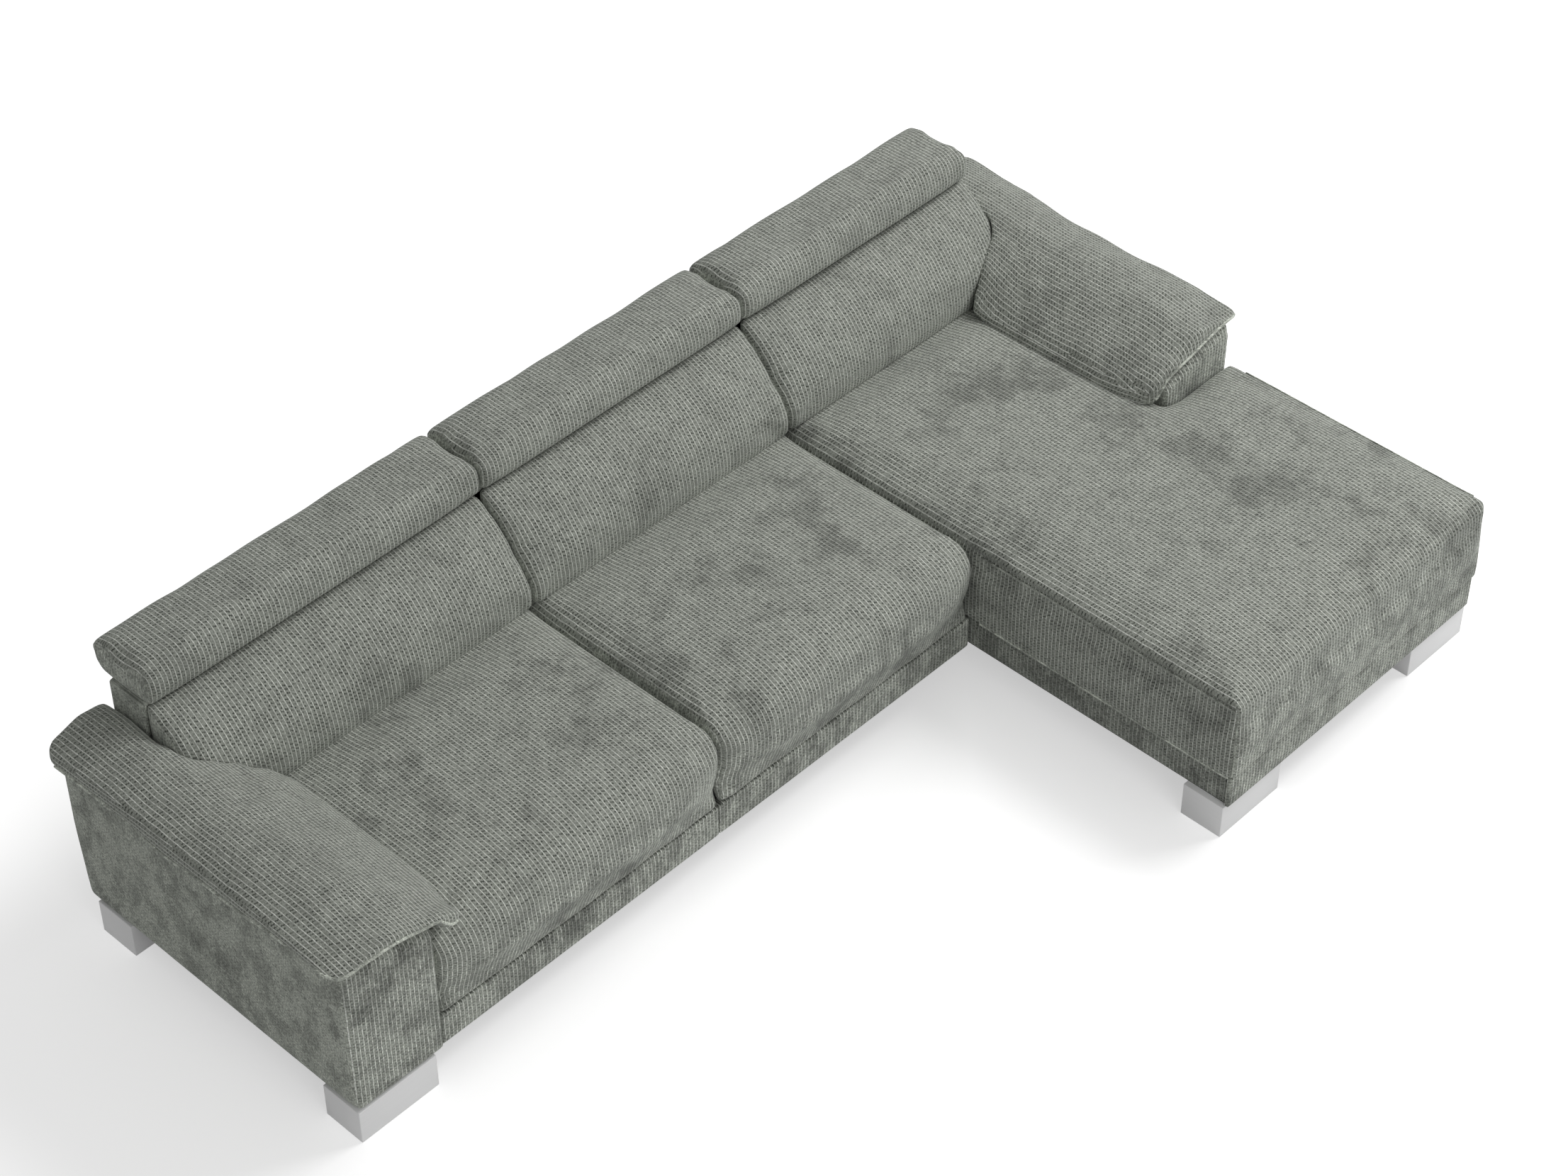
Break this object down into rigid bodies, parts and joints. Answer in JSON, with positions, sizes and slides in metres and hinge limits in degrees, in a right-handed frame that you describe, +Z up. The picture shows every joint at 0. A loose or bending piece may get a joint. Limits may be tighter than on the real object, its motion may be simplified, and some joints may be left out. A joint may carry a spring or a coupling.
{
  "type": "corner sofa",
  "caption": "Corner sofa with a chaise, loose arm pads, padded back cushions and fold-up headrests on click hinges, on metal feet.",
  "frame": {"origin": "on the floor, in the middle of the footprint", "axes": "+X from the left arm to the chaise side, +Y to the back, +Z up"},
  "size_m": [2.78, 1.625, 0.736],
  "materials": {
    "fabric": "matte",
    "foot_metal": "satin",
    "black_plastic": "matte",
    "plywood": "matte",
    "wood": "matte",
    "spring_steel": "satin",
    "zinc_steel": "satin",
    "foam": "matte",
    "webbing": "matte",
    "dust_cloth": "matte"
  },
  "bodies": {
    "base": {"metal_feet": "foot_metal", "support_legs": "black_plastic", "left_arm_outer_board": "plywood", "left_arm_inner_board": "plywood", "left_arm_end_boards": "plywood", "left_arm_top_board": "plywood", "left_arm_base_board": "plywood", "left_arm_cover": "fabric", "left_arm_pad": "fabric", "right_arm_outer_board": "plywood", "right_arm_inner_board": "plywood", "right_arm_end_boards": "plywood", "right_arm_top_board": "plywood", "right_arm_base_board": "plywood", "right_arm_cover": "fabric", "right_arm_pad": "fabric", "seat_front_rail": "wood", "seat_rear_rail": "wood", "seat_cross_rails": "wood", "seat_springs": "spring_steel", "seat_plinth_left": "fabric", "seat_plinth_middle": "fabric", "seat_foam_left": "foam", "seat_foam_middle": "foam", "seat_cushion_left": "fabric", "seat_cushion_middle": "fabric", "chaise_end_rails": "wood", "chaise_side_rails": "wood", "chaise_springs": "spring_steel", "chaise_front_panel": "fabric", "chaise_left_panel": "fabric", "chaise_right_panel": "fabric", "chaise_foam": "foam", "chaise_cushion": "fabric", "back_uprights": "wood", "back_rails": "wood", "back_webbing": "webbing", "sofa_rear_cover": "fabric", "chaise_rear_cover": "fabric", "back_cushion_left": "fabric", "back_cushion_middle": "fabric", "back_cushion_right": "fabric", "hinge_fixed_arms": "zinc_steel", "module_connectors": "zinc_steel", "dust_covers": "dust_cloth"},
    "headrest_left": {"headrest_cushion_left": "fabric", "headrest_board_left": "plywood", "headrest_brackets_left": "zinc_steel", "headrest_pins_left": "zinc_steel", "click_springs_left": "spring_steel"},
    "headrest_middle": {"headrest_cushion_middle": "fabric", "headrest_board_middle": "plywood", "headrest_brackets_middle": "zinc_steel", "headrest_pins_middle": "zinc_steel", "click_springs_middle": "spring_steel"},
    "headrest_right": {"headrest_cushion_right": "fabric", "headrest_board_right": "plywood", "headrest_brackets_right": "zinc_steel", "headrest_pins_right": "zinc_steel", "click_springs_right": "spring_steel"}
  },
  "joints": [
    {"name": "headrest_left_turn", "type": "hinge", "parent": "base", "child": "headrest_left", "pos_m": [-0.7805, 0.6625, 0.686], "axis": [1, 0, 0], "range_deg": [0, 75]},
    {"name": "headrest_middle_turn", "type": "hinge", "parent": "base", "child": "headrest_middle", "pos_m": [0.0675, 0.6625, 0.686], "axis": [1, 0, 0], "range_deg": [0, 75]},
    {"name": "headrest_right_turn", "type": "hinge", "parent": "base", "child": "headrest_right", "pos_m": [0.848, 0.6625, 0.686], "axis": [1, 0, 0], "range_deg": [0, 75]}
  ]
}
